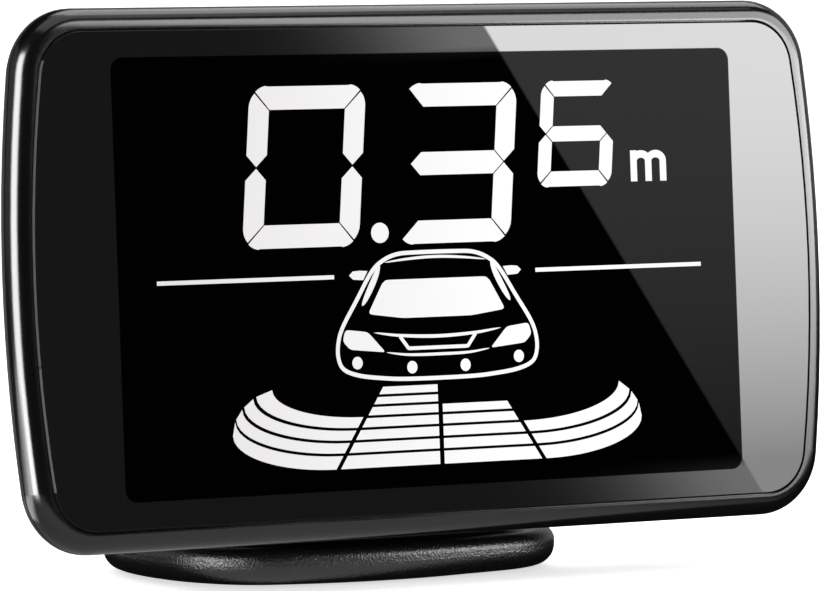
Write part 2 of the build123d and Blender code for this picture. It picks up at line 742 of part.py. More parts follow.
def main():
    make_lens()
    make_bezel()
    make_cell()
    make_backlight()
    make_board()
    make_buzzer()
    make_socket()
    make_switch()
    make_rear_housing()
    make_base_shell()
    make_base_inside()
    make_hinge()
    os.makedirs("parts", exist_ok=True)
    for node, shape in made.items():
        placed = shape if node in BASE_NODES else HEAD * shape
        export_step(placed, f"parts/{node}.step")
        print(f"{node}: {len(placed.solids())} solids, {placed.volume:.1f} mm3")


print(f"hinge axis at y {hinge_y:.3f}, z {hinge_z:.3f}")
main()
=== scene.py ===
from math import cos, pi, radians, sin

import bmesh
import bpy
import numpy as np
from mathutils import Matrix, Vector


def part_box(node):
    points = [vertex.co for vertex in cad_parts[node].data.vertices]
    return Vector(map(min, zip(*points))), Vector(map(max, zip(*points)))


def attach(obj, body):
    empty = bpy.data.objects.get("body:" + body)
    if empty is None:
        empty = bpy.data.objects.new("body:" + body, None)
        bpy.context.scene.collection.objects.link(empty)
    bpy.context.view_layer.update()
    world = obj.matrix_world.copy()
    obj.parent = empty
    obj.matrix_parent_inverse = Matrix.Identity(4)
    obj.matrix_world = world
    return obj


bl_info = {
    "name": "Parking distance display",
    "version": (1, 0, 0),
    "blender": (4, 5, 0),
    "location": "3D View > Sidebar > Distance display",
    "description": "Builds the looks of a dashboard distance display on its fixed CAD frame",
    "category": "Object",
}

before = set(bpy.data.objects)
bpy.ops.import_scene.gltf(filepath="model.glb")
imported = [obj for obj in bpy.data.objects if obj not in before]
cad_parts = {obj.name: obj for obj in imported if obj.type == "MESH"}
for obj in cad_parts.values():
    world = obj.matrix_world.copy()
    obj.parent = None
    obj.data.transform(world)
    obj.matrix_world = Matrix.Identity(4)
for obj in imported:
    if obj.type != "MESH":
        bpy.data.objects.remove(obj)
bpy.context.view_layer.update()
MM = 0.001

# The head's own frame, in millimetres: x to the right, y back from the lens's front face, z up from the
# middle of the display window. It leans back, so its axes are turned about X.
LEAN = radians(4.03)
BACKWARD = np.array([0.0, cos(LEAN), -sin(LEAN)])
UPWARD = np.array([0.0, sin(LEAN), cos(LEAN)])
RIGHTWARD = np.array([1.0, 0.0, 0.0])
POLARISER_DEPTH = 2.8           # middle of the front polariser, behind the lens's front face
POLARISER_LOW, POLARISER_HIGH = (np.array(corner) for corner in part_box("front_polariser"))
WINDOW_MIDDLE = (POLARISER_LOW + POLARISER_HIGH) / 2 - BACKWARD * POLARISER_DEPTH * MM

WINDOW_W, WINDOW_H, WINDOW_CORNER = 83.3, 50.0, 1.5
GLOW_FRONT, GLOW_BACK = -0.035, -0.005      # depths of the lit plates' faces, just out of the lens
MERGE_WITHIN, DEGENERATE_UNDER = 1e-7, 1e-8     # metres


# ---- Meshes ----
def on_panel(points, depth):
    """Points (x, z) of the panel at a depth, in the object's frame: middle + x right + depth back + z up."""
    x, z = points[:, 0, None], points[:, 1, None]
    return WINDOW_MIDDLE + MM * (x * RIGHTWARD + depth * BACKWARD + z * UPWARD)


def grid_quads(rows, columns, close_rows=False, close_columns=False):
    """Quads of a grid of points stored row by row; a closed direction joins its last line to its first."""
    row = np.arange(rows if close_rows else rows - 1)[:, None]
    column = np.arange(columns if close_columns else columns - 1)[None, :]
    below, beside = (row + 1) % rows, (column + 1) % columns
    upper, lower = row * columns, below * columns
    corners = (upper + column, upper + beside, lower + beside, lower + column)
    return np.stack(corners, axis=-1).reshape(-1, 4)


def new_piece(name, points, faces, body, finish):
    """Makes a flat-faced mesh piece from arrays, merges what meets, turns its faces outwards and puts it on
    its body."""
    mesh = bpy.data.meshes.new(name)
    mesh.from_pydata(points.tolist(), [], faces.tolist())
    work = bmesh.new()
    work.from_mesh(mesh)
    bmesh.ops.remove_doubles(work, verts=work.verts, dist=MERGE_WITHIN)
    bmesh.ops.dissolve_degenerate(work, edges=work.edges, dist=DEGENERATE_UNDER)
    bmesh.ops.recalc_face_normals(work, faces=work.faces)
    work.to_mesh(mesh)
    work.free()
    mesh.polygons.foreach_set("use_smooth", np.zeros(len(mesh.polygons), bool))
    mesh.materials.append(finish)
    piece = bpy.data.objects.new(name, mesh)
    bpy.context.scene.collection.objects.link(piece)
    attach(piece, body)
    return piece


def lit_plates(name, strips, finish):
    """Thin closed plates on the lens. A strip is two edges with equally many stations, and closed or not.
    The section at a station is a rectangle: both edges at the front, then both at the back; the sections
    are joined."""
    points, faces, count = [], [], 0
    for edge_a, edge_b, closed in strips:
        corners = [on_panel(edge_a, GLOW_FRONT), on_panel(edge_b, GLOW_FRONT)]
        corners += [on_panel(edge_b, GLOW_BACK), on_panel(edge_a, GLOW_BACK)]
        section = np.stack(corners, axis=1)
        rows = len(section)
        quads = [grid_quads(rows, 4, close_rows=closed, close_columns=True)]
        if not closed:
            quads.append(np.array([[3, 2, 1, 0], np.arange(4) + 4 * (rows - 1)]))
        points.append(section.reshape(-1, 3))
        faces.append(np.concatenate(quads) + count)
        count += 4 * rows
    return new_piece(name, np.concatenate(points), np.concatenate(faces), "head", finish)


# ---- Lines and outlines in the panel's plane ----
def smooth_line(points, closed=False, steps=8):
    """A smooth line through points: each stretch is the cubic whose end slopes are half the chord between the
    neighbours on either side."""
    points = np.array(points, float)
    if closed:
        before, after, ahead = np.roll(points, 1, 0), np.roll(points, -1, 0), np.roll(points, -2, 0)
    else:
        padded = np.concatenate([[2 * points[0] - points[1]], points, [2 * points[-1] - points[-2]]])
        before, points, after, ahead = padded[:-3], padded[1:-2], padded[2:-1], padded[3:]
    t = (np.arange(steps) / steps)[None, :, None]
    p0, p1, p2, p3 = (p[:, None, :] for p in (before, points, after, ahead))
    cubic = p1 + t * (p2 - p0) / 2
    cubic += t**2 * (p0 - 2.5 * p1 + 2 * p2 - p3 / 2)
    cubic += t**3 * (-p0 + 3 * p1 - 3 * p2 + p3) / 2
    line = cubic.reshape(-1, 2)
    return line if closed else np.concatenate([line, after[-1:]])


def stroke(line, width, closed=False, pointed=False):
    """A strip along a line: its edges are the line plus and minus half the width along the normal. Pointed,
    the width falls to nothing at both ends as the square root of a parabola."""
    if closed:
        slope = np.roll(line, -1, 0) - np.roll(line, 1, 0)
    else:
        slope = np.gradient(line, axis=0)
    slope /= np.linalg.norm(slope, axis=1, keepdims=True)
    normal = np.stack([-slope[:, 1], slope[:, 0]], axis=1)
    half = np.full((len(line), 1), width / 2)
    if pointed:
        t = np.linspace(0, 1, len(line))[:, None]
        half *= np.sqrt(np.clip(4 * t * (1 - t), 0, 1))
    return line + normal * half, line - normal * half, closed


def mirrored(strip):
    """The same strip on the other side of the middle."""
    flip = np.array([-1.0, 1.0])
    return strip[0] * flip, strip[1] * flip, strip[2]


def between(upper, lower, stations=24):
    """A strip between two lines, each resampled to equal steps along its length."""
    return resampled(upper, stations), resampled(lower, stations), False


def resampled(line, stations):
    """Points at equal steps along a line's length."""
    line = np.array(line, float)
    length = np.concatenate([[0], np.cumsum(np.linalg.norm(np.diff(line, axis=0), axis=1))])
    at = np.linspace(0, length[-1], stations)
    return np.stack([np.interp(at, length, line[:, 0]), np.interp(at, length, line[:, 1])], axis=1)


def disc(x, z, half_w, half_h, stations=25):
    """A dot as a strip between the upper and lower half of its ellipse."""
    angle = np.linspace(pi, 0, stations)
    across, up = half_w * np.cos(angle), half_h * np.sin(angle)
    return np.stack([x + across, z + up], axis=1), np.stack([x + across, z - up], axis=1), False


def rounded(points, radius, steps=6):
    """A closed outline with its corners cut on a curve: at each corner, the quadratic curve from a point
    that far along one side to a point that far along the next."""
    points = np.array(points, float)
    before, after = np.roll(points, 1, 0), np.roll(points, -1, 0)
    back = (before - points) / np.linalg.norm(before - points, axis=1, keepdims=True)
    ahead = (after - points) / np.linalg.norm(after - points, axis=1, keepdims=True)
    start, end = points + back * radius, points + ahead * radius
    t = np.linspace(0, 1, steps)[None, :, None]
    curve = (1 - t) ** 2 * start[:, None] + 2 * t * (1 - t) * points[:, None] + t**2 * end[:, None]
    return curve.reshape(-1, 2)


def filled(outline, stations=40):
    """A convex outline as a strip: its upper and lower edges between the leftmost and the rightmost point,
    with stations closer together at the ends."""
    left, right = outline[:, 0].argmin(), outline[:, 0].argmax()
    ring = np.roll(outline, -left, 0)
    turn = (right - left) % len(outline)
    one, other = ring[: turn + 1], np.concatenate([ring[turn:], ring[:1]])[::-1]
    if one[:, 1].mean() < other[:, 1].mean():
        one, other = other, one
    x0, x1 = ring[0, 0], ring[turn, 0]
    x = (x0 + x1) / 2 - (x1 - x0) / 2 * np.cos(np.linspace(0, pi, stations))
    upper = np.interp(x, one[:, 0], one[:, 1])
    lower = np.interp(x, other[:, 0], other[:, 1])
    return np.stack([x, upper], axis=1), np.stack([x, lower], axis=1), False


# ---- Digits ----
def digit_segments(lit, middle, half_w, half_h, width, corner, gap, slant):
    """The lit bars of a seven-bar digit. Bars are drawn upright about the digit's middle and then slanted:
    x grows by slant times z. Outer corners are round: corner middle + radius times cosine and sine of the
    angle. Neighbours meet on mitres with a thin gap."""
    a, b, t, c, g = half_w, half_h, width, corner, gap / 2    # the bars' coordinates are written in these
    tip = t / 2
    turn = np.linspace(0, pi / 4, 6)
    round_x, round_z = c * (1 - np.sin(turn)), c * (1 - np.cos(turn))
    corner_right = np.stack([a - round_x - g, b - round_z + g * (turn > 0)], axis=1)
    corner_left = corner_right[::-1] * [-1, 1]
    down = np.stack([a - round_z, b - round_x - g], axis=1)[::-1]
    inner = (a - t - g) * np.linspace(-1, 1, 12)
    flat = {
        "top": (np.concatenate([corner_left, corner_right]), [(x, b - t) for x in inner]),
        "middle": ([(-a + tip + g, 0), (-a + t + g, tip), (a - t - g, tip), (a - tip - g, 0)],
                   [(-a + tip + g, 0), (-a + t + g, -tip), (a - t - g, -tip), (a - tip - g, 0)]),
        "upper_right": (np.concatenate([down, [(a, tip + g), (a - tip, g)]]),
                        [(a - t, z) for z in np.linspace(b - t - g, tip + g, 7)] + [(a - tip, g)]),
    }
    flat["bottom"] = tuple([(x, -z) for x, z in edge] for edge in flat["top"])
    flat["lower_right"] = tuple([(x, -z) for x, z in edge] for edge in flat["upper_right"])
    flat["upper_left"] = tuple([(-x, z) for x, z in edge] for edge in flat["upper_right"])
    flat["lower_left"] = tuple([(-x, -z) for x, z in edge] for edge in flat["upper_right"])
    strips = []
    for bar in lit:
        edges = [np.array(edge, float) for edge in flat[bar]]
        for edge in edges:
            edge[:, 0] += slant * edge[:, 1]
            edge += middle
        strips.append((edges[0], edges[1], False))
    return strips


ZERO = ("top", "bottom", "upper_left", "lower_left", "upper_right", "lower_right")
THREE = ("top", "middle", "bottom", "upper_right", "lower_right")
SIX = ("top", "middle", "bottom", "upper_left", "lower_left", "lower_right")
ZERO_AT, THREE_AT, SIX_AT = (-16.98, 12.2), (3.45, 12.2), (19.93, 15.25)
POINT_AT, POINT_R = (-7.29, 4.38), 1.17
HORIZON_LEVEL, HORIZON_START, HORIZON_END = -0.52, 13.6, 36.7


UNIT_LEFT, UNIT_FOOT, UNIT_H, UNIT_LINE = 27.75, 9.45, 3.65, 0.88
ARCH_PITCH, ARCH_RISE, ARCH_START = 2.05, 1.25, 0.86 * pi


def unit_strips():
    """The unit mark, a small m: a straight leg, and two arches that rise out of it and come down as legs.
    An arch is a half ellipse, from a little past its left end to its right end."""
    left, foot, height, width = UNIT_LEFT, UNIT_FOOT, UNIT_H, UNIT_LINE
    leg = np.array([(left, foot + height), (left, foot)])
    strips = [stroke(leg, width)]
    for i in (0, 1):
        x0 = left + i * ARCH_PITCH
        angle = np.linspace(ARCH_START, 0, 12)
        arch_x = x0 + ARCH_PITCH / 2 * (1 + np.cos(angle))
        arch_z = foot + height - ARCH_RISE + (ARCH_RISE - width / 2) * np.sin(angle)
        line = np.concatenate([np.stack([arch_x, arch_z], axis=1), [(x0 + ARCH_PITCH, foot)]])
        strips.append(stroke(line, width))
    return strips


# ---- Car front and distance bars ----
CAR_HALF = [(2.6, 2.0), (5.2, 1.85), (7.2, 1.1), (8.7, -0.2), (10.75, -3.3), (12.7, -6.3), (13.35, -8.1),
            (13.4, -9.8), (12.75, -11.1), (10.9, -11.85), (8.0, -12.27), (4.0, -12.52)]


ROOF_LINE = [(-6.9, 0.95), (-3.5, 1.3), (0, 1.45), (3.5, 1.3), (6.9, 0.95)]
CAR_WINDOW = [(-7.0, -1.05), (7.0, -1.05), (9.25, -4.9), (4.6, -5.5), (-4.6, -5.5), (-9.25, -4.9)]
PILLAR = [(7.5, 0.75), (8.15, -0.7), (9.1, -2.45), (10.0, -3.95)]
MIRROR_UPPER = [(9.15, 0.05), (10.2, 0.12), (11.1, 0.05), (11.6, -0.4)]
MIRROR_LOWER = [(9.75, -0.98), (10.4, -0.94), (11.1, -0.88), (11.6, -0.4)]
LAMP = [(9.4, -6.95), (12.35, -6.6), (12.75, -7.9), (11.8, -8.9), (7.1, -9.35)]
BONNET_LINE = [(-8.6, -7.05), (-5, -7.5), (0, -7.72), (5, -7.5), (8.6, -7.05)]
GRILLE = [(-5.1, -7.6), (-4.0, -9.02), (4.0, -9.02), (5.1, -7.6)]
BUMPER_LINE = [(-7.0, -9.38), (-4, -9.74), (0, -9.8), (4, -9.74), (7.0, -9.38)]
SENSOR_DOTS = ((3.6, -11.2), (10.9, -10.45))
FINE_W, BONNET_W, GRILLE_W, PILLAR_W = 0.34, 0.4, 0.42, 0.75
CAR_WINDOW_CORNER, LAMP_CORNER = 0.55, 0.45
DOT_HALF_W, DOT_HALF_H = 0.68, 0.72


def car_strips(line_w):
    """A plain car seen from the front, the same on both sides: outline, roof line, window, pillars,
    mirrors, lamps, bonnet line, grille, bumper line and sensor dots."""
    right = np.array(CAR_HALF)
    left = right[::-1] * [-1, 1]
    outline = smooth_line(np.concatenate([right, left]), closed=True)
    strips = [stroke(outline, line_w, closed=True)]
    strips.append(stroke(smooth_line(ROOF_LINE), FINE_W, pointed=True))
    strips.append(filled(rounded(CAR_WINDOW, CAR_WINDOW_CORNER)))
    pillar = stroke(smooth_line(PILLAR), PILLAR_W, pointed=True)
    lamp = filled(rounded(LAMP, LAMP_CORNER))
    for strip in (pillar, between(MIRROR_UPPER, MIRROR_LOWER), lamp):
        strips += [strip, mirrored(strip)]
    strips.append(stroke(smooth_line(BONNET_LINE), BONNET_W, pointed=True))
    strips.append(stroke(resampled(GRILLE, 60), GRILLE_W))
    strips.append(stroke(smooth_line(BUMPER_LINE), FINE_W, pointed=True))
    for x, z in SENSOR_DOTS:
        strips += [disc(x, z, DOT_HALF_W, DOT_HALF_H), disc(-x, z, DOT_HALF_W, DOT_HALF_H)]
    return strips


BAR_GAP = 0.32
STRAIGHT_LEVELS = (-13.3, -14.3, -15.42, -16.66, -18.0, -19.4, -20.85, -22.5)
# Slanted side of the middle bars, and the outer bars' sweep from there to their tips.
SIDE_TOP, SIDE_FOOT = (7.9, -13.3), (13.9, -22.5)


LEVELS = len(STRAIGHT_LEVELS) - 1
FIRST_STRAIGHT = {-1: 0, 1: 2}      # the first lit level on the left and on the right of the middle
FIRST_SWEPT = {-1: 3, 1: 4}
TIP_UPPER, TIP_DROP, TIP_SWEEP = np.array([22.3, -13.1]), 5.0, 5.3


def bar_strips(zone_gap):
    """Distance bars: seven straight ones left of the middle, five right of it, and curved ones beyond, four
    to the left and three to the right. The curved lines are quarter ellipses that leave the straight bars'
    levels."""
    slope = (SIDE_FOOT[0] - SIDE_TOP[0]) / (SIDE_FOOT[1] - SIDE_TOP[1])

    def side(z):
        return SIDE_TOP[0] + slope * (z - SIDE_TOP[1]) - zone_gap / 2

    def levels(i, first):
        upper = STRAIGHT_LEVELS[i] - BAR_GAP / 2 * (i > first)
        return upper, STRAIGHT_LEVELS[i + 1] + BAR_GAP / 2 * (i < LEVELS - 1)

    strips = []
    for sign in (-1, 1):
        for i in range(FIRST_STRAIGHT[sign], LEVELS):
            ends = [np.array([(sign * zone_gap / 2, z), (sign * side(z), z)]) for z in levels(i, 0)]
            strips.append((*ends, False))
        for i in range(FIRST_SWEPT[sign], LEVELS):
            swept = [swept_level(z, side(z) + zone_gap) * [sign, 1] for z in levels(i, FIRST_SWEPT[sign])]
            strips.append(between(*swept))
    return strips


def swept_level(z, start):
    """A level of the outer bars: level at first, then rising on a quarter ellipse to its tip. With the part
    of the way down from the first level to the last, the tip moves out by the sine of a quarter turn of
    that part, to the power 0.8, and down by that part to the power 1.25."""
    drop = (STRAIGHT_LEVELS[3] - z) / (STRAIGHT_LEVELS[3] - STRAIGHT_LEVELS[-1])
    tip = TIP_UPPER + np.array([TIP_SWEEP * sin(drop * pi / 2) ** 0.8, -TIP_DROP * drop**1.25])
    angle = np.linspace(0, pi / 2, 24)
    reach, rise = tip[0] - start, tip[1] - z
    return np.stack([start + reach * np.sin(angle), z + rise * (1 - np.cos(angle))], axis=1)


# ---- Finishes ----
class Value:
    """A shader socket. Arithmetic on it adds Math nodes."""

    def __init__(self, finish, socket):
        self.finish = finish
        self.socket = socket

    def math(self, operation, *others):
        return self.finish.calculate(operation, self, *others)

    def __add__(self, other):
        return self.math("ADD", other)

    def __sub__(self, other):
        return self.math("SUBTRACT", other)

    def __rsub__(self, other):
        return self.finish.calculate("SUBTRACT", other, self)

    def __mul__(self, other):
        return self.math("MULTIPLY", other)

    def __truediv__(self, other):
        return self.math("DIVIDE", other)

    def __rtruediv__(self, other):
        return self.finish.calculate("DIVIDE", other, self)

    __radd__ = __add__
    __rmul__ = __mul__

    def clamped(self):
        """The value, held between 0 and 1."""
        return self.math("MAXIMUM", 0.0).math("MINIMUM", 1.0)


class Finish:
    """A material built from nodes: node() adds one, and surface() ends it in a Principled shader."""

    def __init__(self, name):
        self.material = bpy.data.materials.new(name)
        self.material.use_nodes = True
        self.tree = self.material.node_tree
        self.tree.nodes.clear()

    def node(self, kind, settings=None, inputs=None, output=0):
        """Adds a node: its settings first, with a ramp's stops among them, then its sockets' values or
        links."""
        made = self.tree.nodes.new(kind)
        for name, value in (settings or {}).items():
            if name == "stops":
                ramp = made.color_ramp
                for i, (position, colour) in enumerate(value):
                    stop = ramp.elements[i] if i < len(ramp.elements) else ramp.elements.new(position)
                    stop.position, stop.color = position, colour
            else:
                setattr(made, name, value)
        for name, value in (inputs or {}).items():
            if isinstance(value, Value):
                self.tree.links.new(value.socket, made.inputs[name])
            else:
                made.inputs[name].default_value = value
        return Value(self, made.outputs[output]) if len(made.outputs) else None

    def calculate(self, operation, *values):
        """A Math node on values or numbers."""
        return self.node("ShaderNodeMath", {"operation": operation}, dict(enumerate(values)))

    def axis(self, place, letter):
        """One coordinate of a place."""
        return self.node("ShaderNodeSeparateXYZ", {}, {"Vector": place}, letter)

    def coordinates(self, **mapping):
        """Object coordinates, moved and turned by a Mapping node if asked."""
        place = self.node("ShaderNodeTexCoord", output="Object")
        if mapping:
            place = self.node("ShaderNodeMapping", {"vector_type": "TEXTURE"}, {"Vector": place, **mapping})
        return place

    def noise(self, size, detail=2.0, place=None):
        """Noise whose lumps are about size metres across."""
        inputs = {"Vector": place or self.coordinates(), "Scale": 1 / size, "Detail": detail}
        return self.node("ShaderNodeTexNoise", {}, inputs)

    def mix(self, factor, colour_a, colour_b):
        """A colour between two, by a factor from 0 to 1."""
        return self.node("ShaderNodeMix", {"data_type": "RGBA"}, {0: factor, 6: colour_a, 7: colour_b}, 2)

    def bump(self, height, depth):
        """A normal from a height pattern that is depth metres deep."""
        inputs = {"Height": height, "Distance": depth, "Strength": 1.0}
        return self.node("ShaderNodeBump", {}, inputs, "Normal")

    def surface(self, **inputs):
        """Ends the material in a Principled shader; base_color stands for Base Color, and so on."""
        named = {key.replace("_", " ").title().replace("Ior", "IOR"): value for key, value in inputs.items()}
        shader = self.node("ShaderNodeBsdfPrincipled", {}, named)
        self.node("ShaderNodeOutputMaterial", {}, {"Surface": shader})
        return self.material


def grey(level, warm=0.0):
    """A nearly neutral colour; warm above 0 makes it slightly warmer."""
    return (level * (1 + warm), level, level * (1 - warm), 1.0)


def toned(colour, factor):
    """A colour made darker or lighter."""
    return tuple(channel * factor for channel in colour[:3]) + (1.0,)


TONE_SPREAD = 0.2               # how far a moulded colour drifts either way


def moulded(name, colour, roughness, grain, depth, **constants):
    """Moulded plastic: a spark texture of lumps of that grain and depth, over slow drifts of tone and
    gloss."""
    finish = Finish(name)
    spark = finish.noise(grain, 3.0)
    drift = finish.noise(0.015, 3.0)
    tone = finish.mix(drift, toned(colour, 1 - TONE_SPREAD), toned(colour, 1 + TONE_SPREAD))
    rough = (drift - 0.5) * 0.1 + (spark - 0.5) * 0.12 + roughness
    normal = finish.bump(spark, depth)
    return finish.surface(base_color=tone, roughness=rough.clamped(), normal=normal, **constants)


SCRATCH_DEPTH = 4e-6


def metal(name, colour, roughness, grain, stretch=(1.0, 1.0, 1.0)):
    """Metal with fine scratches, stretched along an axis, and slight tarnish."""
    finish = Finish(name)
    place = finish.coordinates(Scale=stretch)
    scratch = finish.noise(grain, 4.0, place)
    tarnish = finish.noise(0.003, 3.0)
    tone = finish.mix(tarnish, toned(colour, 0.8), colour)
    rough = (scratch - 0.5) * 0.25 + (tarnish - 0.5) * 0.1 + roughness
    normal = finish.bump(scratch, SCRATCH_DEPTH)
    return finish.surface(base_color=tone, metallic=1.0, roughness=rough.clamped(), normal=normal)


WINDOW_EDGE = 0.083 * MM        # the print's edge fades over this
RIM_START, RIM_FADE = 0.004 * MM, 0.003 * MM    # past this depth the lens's bevel is dull; it dulls over this
RIM_GLOSS = 0.1


def lens_finish(name, colour, border_gloss, window_gloss):
    """Black printed lens. Its coat reflects fully over the border and little over the rounded window, whose
    edge is the distance to a rounded rectangle: the length of what |x| and |z| exceed its core by, less the
    radius. The lens's bevel, which lies deeper than its face, is duller."""
    finish = Finish(name)
    place = finish.coordinates(Location=WINDOW_MIDDLE, Rotation=(-LEAN, 0, 0))
    x, z = finish.axis(place, "X").math("ABSOLUTE"), finish.axis(place, "Z").math("ABSOLUTE")
    core_x, core_z = (WINDOW_W / 2 - WINDOW_CORNER) * MM, (WINDOW_H / 2 - WINDOW_CORNER) * MM
    over_x, over_z = (x - core_x).math("MAXIMUM", 0.0), (z - core_z).math("MAXIMUM", 0.0)
    outside = (over_x * over_x + over_z * over_z).math("SQRT") - WINDOW_CORNER * MM
    window = (0.5 - outside / WINDOW_EDGE).clamped()
    face = ((RIM_START - finish.axis(place, "Y")) / RIM_FADE).clamped()
    gloss = (window * (window_gloss - border_gloss) + border_gloss) * (face * (1 - RIM_GLOSS) + RIM_GLOSS)
    dust = finish.noise(0.0004, 4.0)
    tone = finish.mix(window, colour, toned(colour, 0.05))
    rough = (dust - 0.5) * 0.1 + 0.5
    return finish.surface(base_color=tone, roughness=rough, specular_ior_level=0.0, coat_weight=gloss,
                          coat_roughness=0.004, coat_ior=1.6)


SHEEN_FADE_START, SHEEN_FADE_LENGTH = -0.0327, 0.0455   # where the painted reflection of the right softbox starts to lighten the lit shapes, and how far on it is full


def lit_finish(name, left, right):
    """Lit shapes: they glow with the backlight, and grow lighter towards the right of the window as a painted
    reflection of the right softbox.
    """
    finish = Finish(name)
    x = finish.axis(finish.coordinates(), "X")
    mottle = finish.noise(0.002, 2.0)
    # painted reflection: the glow's colour grows lighter to the right, standing in for the right softbox's
    # sheen
    across = ((x - SHEEN_FADE_START) / SHEEN_FADE_LENGTH + (mottle - 0.5) * 0.06).clamped()
    tone = finish.mix(across, left, right)
    return finish.surface(base_color=grey(0.02), roughness=0.6, specular_ior_level=0.0, emission_color=tone,
                          emission_strength=1.0)


def woven(name, colour, pitch, depth):
    """Woven gauze: two sets of threads, as sine waves across and up."""
    finish = Finish(name)
    place = finish.coordinates()
    warp = (finish.axis(place, "X") * (2 * pi / pitch)).math("SINE")
    weft = (finish.axis(place, "Z") * (2 * pi / pitch)).math("SINE")
    thread = warp.math("MAXIMUM", weft) * 0.5 + 0.5
    tone = finish.mix(thread, toned(colour, 0.3), colour)
    return finish.surface(base_color=tone, roughness=0.8, normal=finish.bump(thread, depth))


def circuit(name, mask, trace, pitch):
    """Circuit board: solder mask over copper tracks, which show as lighter lines between cells."""
    finish = Finish(name)
    cells = finish.node("ShaderNodeTexVoronoi", {"feature": "DISTANCE_TO_EDGE", "distance": "EUCLIDEAN"},
                        {"Vector": finish.coordinates(), "Scale": 1 / pitch})
    track = (1.0 - cells * 12).clamped()
    tone = finish.mix(track, mask, trace)
    return finish.surface(base_color=tone, roughness=0.35, normal=finish.bump(track, 3e-5))


def speckled(name, dark, light, pitch, roughness, depth):
    """A finely speckled surface, such as foam or moulding compound."""
    finish = Finish(name)
    cells = finish.node("ShaderNodeTexVoronoi", {"feature": "F1"},
                        {"Vector": finish.coordinates(), "Scale": 1 / pitch})
    tone = finish.mix(cells.clamped(), dark, light)
    rough = (cells - 0.5) * 0.1 + roughness
    return finish.surface(base_color=tone, roughness=rough.clamped(), normal=finish.bump(cells, depth))


def base_finish(name, colour, roughness, grain, depth):
    """Satin black with a coarse sparkling grain: rounded lumps between fine cells, and a soft second
    scale."""
    finish = Finish(name)
    cells = finish.node("ShaderNodeTexVoronoi", {"feature": "SMOOTH_F1"},
                        {"Vector": finish.coordinates(), "Scale": 1 / grain, "Smoothness": 0.5})
    fine = finish.noise(grain * 0.6, 2.0)
    height = cells * 0.6 + fine
    drift = finish.noise(0.008, 2.0)
    tone = finish.mix(drift, toned(colour, 0.7), toned(colour, 1.3))
    rough = (fine - 0.5) * 0.2 + roughness
    normal = finish.bump(height, depth)
    return finish.surface(base_color=tone, roughness=rough.clamped(), ior=1.7, normal=normal)


# ---- Settings ----
def colour_setting(name, description, default):
    """A colour property of a finish."""
    return bpy.props.FloatVectorProperty(name=name, description=description, default=default, size=4, min=0.0,
                                         max=1.0, subtype="COLOR")


def place_setting(name, description, default):
    """A place in metres."""
    return bpy.props.FloatVectorProperty(name=name, description=description, default=default,
                                         subtype="TRANSLATION", unit="LENGTH")


def amount_setting(name, description, default):
    """A plain number that is never below nothing; its description gives its unit."""
    return bpy.props.FloatProperty(name=name, description=description, default=default, min=0.0)


def share_setting(name, description, default):
    """A share between 0 and 1."""
    return bpy.props.FloatProperty(name=name, description=description, default=default, min=0.0, max=1.0,
                                   subtype="FACTOR")


class DisplaySettings(bpy.types.PropertyGroup):
    """Sizes of the lit shapes, in millimetres on the panel, and their colours."""

    digit_half_w: amount_setting("Digit half width", "Half the width of a large digit, in mm", 7.68)
    digit_half_h: amount_setting("Digit half height", "Half the height of a large digit, in mm", 9.22)
    bar_width: amount_setting("Bar width", "Width of a large digit's bars, in mm", 2.66)
    digit_corner: amount_setting("Digit corner", "Radius of a large digit's outer corners, in mm", 2.3)
    small_scale: amount_setting("Small digit scale", "Size of the small digit against a large one", 0.667)
    mitre_gap: amount_setting("Mitre gap", "Gap between neighbouring bars of a digit, in mm", 0.2)
    slant: amount_setting("Slant", "How far a digit leans to the right for each unit up", 0.094)
    line_w: amount_setting("Line width", "Width of the horizon and the car's outline, in mm", 0.48)
    zone_gap: amount_setting("Zone gap", "Gap between neighbouring groups of distance bars, in mm", 0.62)
    lit_near: colour_setting("Lit, left", "Colour of the lit shapes at the left", (0.78, 0.755, 0.77, 1.0))
    # The right colour is lighter than the left as a painted reflection of the right softbox.
    lit_far_painted_sheen: colour_setting("Lit, right", "Colour of the lit shapes at the right", (1.0, 1.0, 1.0, 1.0))


class FinishSettings(bpy.types.PropertyGroup):
    """Colours and textures of the parts."""

    lens_colour: colour_setting("Lens", "Black print behind the lens", grey(0.006))
    bezel_colour: colour_setting("Bezel", "Satin black of the front frame", grey(0.0028))
    housing_colour: colour_setting("Housing", "Textured black of the rear housing", grey(0.01))
    base_colour: colour_setting("Base", "Sparkling black of the base", grey(0.004))
    border_gloss: share_setting("Border gloss", "Coat over the printed border", 1.0)
    window_gloss: share_setting("Window gloss", "Coat over the display window", 0.045)
    bezel_roughness: share_setting("Bezel roughness", "Satin of the bezel", 0.17)
    base_roughness: share_setting("Base roughness", "Satin of the base", 0.3)
    base_grain: bpy.props.FloatProperty(name="Base grain", description="Lump size of the base's texture",
                                        default=0.00034, min=0.0, precision=5, unit="LENGTH")


class StageSettings(bpy.types.PropertyGroup):
    """Camera, floor and lights."""

    camera_offset: place_setting("Camera", "Camera, from the window's middle", (-0.38899, -0.63982, 0.04518))
    aim_offset: place_setting("Aim", "Point it looks at, from there too", (-0.0024, 0.00115, -0.00305))
    focal_length: amount_setting("Focal length", "Lens of the camera, in mm", 283.6)
    softbox_glow: amount_setting("Right softbox", "Brightness of the right softbox", 12.5)
    strip_glow: amount_setting("Left softbox", "Brightness of the left softbox", 17.0)
    foot_glow: amount_setting("Left foot", "Brightness mirrored from low at the left", 20.0)
    low_glow: amount_setting("Far left", "Brightness mirrored from the floor at the far left", 5.0)
    below_glow: amount_setting("Card below", "Brightness mirrored from below", 0.6)
    rear_glow: amount_setting("Surround", "Brightness of the wall round the sides and the back", 0.4)
    rear_floor_glow: amount_setting("Rear floor", "Brightness mirrored from behind, low", 0.9)
    floor_glow: amount_setting("Floor glow", "Light that the floor gives off itself", 0.8)
    floor_colour: colour_setting("Floor", "Pale floor", grey(0.82))


